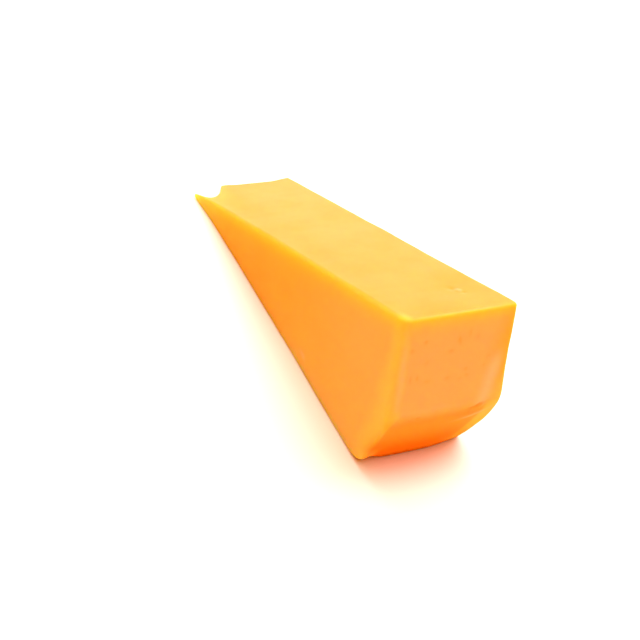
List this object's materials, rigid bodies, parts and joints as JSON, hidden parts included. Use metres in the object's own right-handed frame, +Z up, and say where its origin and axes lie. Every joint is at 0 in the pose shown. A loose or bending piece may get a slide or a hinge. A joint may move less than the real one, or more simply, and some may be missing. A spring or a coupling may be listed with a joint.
{
  "type": "cheddar cheese wedge",
  "caption": "Orange cheddar cut as a thick wedge: flat cut faces meet at a thin broken tip, and the rind end is blunt, rounded off below and cut back along one edge.",
  "frame": {"origin": "on the flat underside, below the middle of the bounding box", "axes": "+X along the underside from the thin tip to the rind end, +Y across the thickness, +Z up"},
  "size_m": [0.1182, 0.0332, 0.0476],
  "materials": {
    "cheddar": "smooth, slightly waxy and translucent orange cheese, cut with a knife"
  },
  "bodies": {
    "root": {"cheddar_block": "cheddar"}
  },
  "joints": []
}
